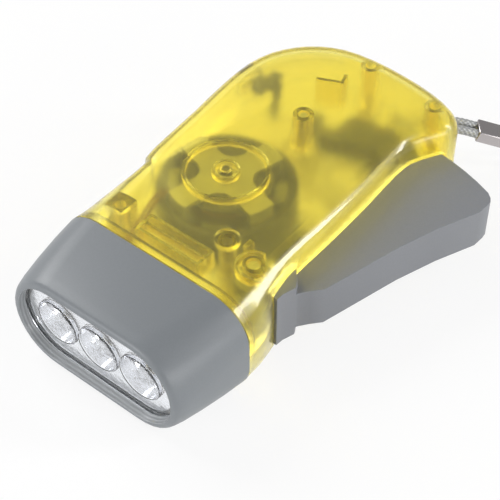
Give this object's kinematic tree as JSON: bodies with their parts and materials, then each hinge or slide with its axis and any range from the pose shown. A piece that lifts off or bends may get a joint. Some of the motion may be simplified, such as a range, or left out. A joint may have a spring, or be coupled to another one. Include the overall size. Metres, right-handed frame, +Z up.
{
  "type": "squeeze dynamo flashlight",
  "caption": "Hand-squeezed dynamo flashlight: translucent case, oval grey head with LEDs, side lever on a hinge, geared flywheel generator and a corded wrist strap.",
  "frame": {"origin": "on the underside of the lower case, below the shaft of the generator", "axes": "+Z up through the thickness, -Y along the beam, +Y to the tail, +X to the lever"},
  "size_m": [0.096, 0.1524, 0.0262],
  "materials": {
    "case": "frosted translucent yellow",
    "grey": "fine matt texture",
    "clear": "clear and polished",
    "mirror": "chromed",
    "board": "bare circuit board",
    "black": "dark moulded plastic",
    "nylon": "natural nylon",
    "steel": "bright steel",
    "copper": "enamelled copper wire",
    "lead": "enamelled copper wire",
    "magnet": "bonded ferrite",
    "cord": "silver braid",
    "crimp": "bright pressed metal"
  },
  "bodies": {
    "casing": {"upper_case": "case", "lower_case": "case", "head_bezel": "grey", "lens": "clear", "reflector": "mirror", "led_left": "clear", "led_middle": "clear", "led_right": "clear", "led_board": "board", "rectifier": "black", "stator_upper_plate": "steel", "stator_lower_plate": "steel", "coil_bobbin": "black", "coil_winding": "copper", "coil_lead_left": "lead", "coil_lead_right": "lead", "dynamo_shaft": "steel", "gear_axle": "steel", "lever_pin": "steel", "return_spring": "steel", "case_screw_1": "steel", "case_screw_2": "steel", "case_screw_3": "steel", "case_screw_4": "steel", "strap_strand_left": "cord", "strap_strand_right": "cord", "strap_crimp": "crimp", "strap_coil": "cord"},
    "lever": {"lever": "grey"},
    "drive_gear": {"drive_gear": "nylon"},
    "clutch_pinion": {"clutch_pinion": "nylon"},
    "flywheel": {"flywheel": "black", "ring_magnet": "magnet"},
    "lock_slider": {"lock_slider": "black"}
  },
  "joints": [
    {"name": "lever_hinge", "type": "hinge", "parent": "casing", "child": "lever", "pos_m": [0.0229, -0.0185, 0.0131], "axis": [0, 0, 1], "range_deg": [0, 16], "stiffness_Nm_per_rad": 0.7, "springref_deg": -11.46, "deforming": ["return_spring"]},
    {"name": "drive_gear_spin", "type": "hinge", "parent": "casing", "child": "drive_gear", "pos_m": [0.00186, 0.02553, 0.0043], "axis": [0, 0, 1], "range_deg": [0, 212]},
    {"name": "clutch_spin", "type": "hinge", "parent": "casing", "child": "clutch_pinion", "pos_m": [0, 0, 0.0045], "axis": [0, 0, 1], "range_deg": [-634, 0]},
    {"name": "flywheel_spin", "type": "hinge", "parent": "casing", "child": "flywheel", "pos_m": [0, 0, 0.0135], "axis": [0, 0, 1], "continuous": true},
    {"name": "lock_slide", "type": "slide", "parent": "casing", "child": "lock_slider", "axis": [0, -1, 0], "range_m": [0, 0.004]}
  ],
  "couplings": [
    {"joint": "drive_gear_spin", "follows": "lever_hinge", "ratio": 13.2},
    {"joint": "clutch_spin", "follows": "lever_hinge", "ratio": -39.6}
  ]
}
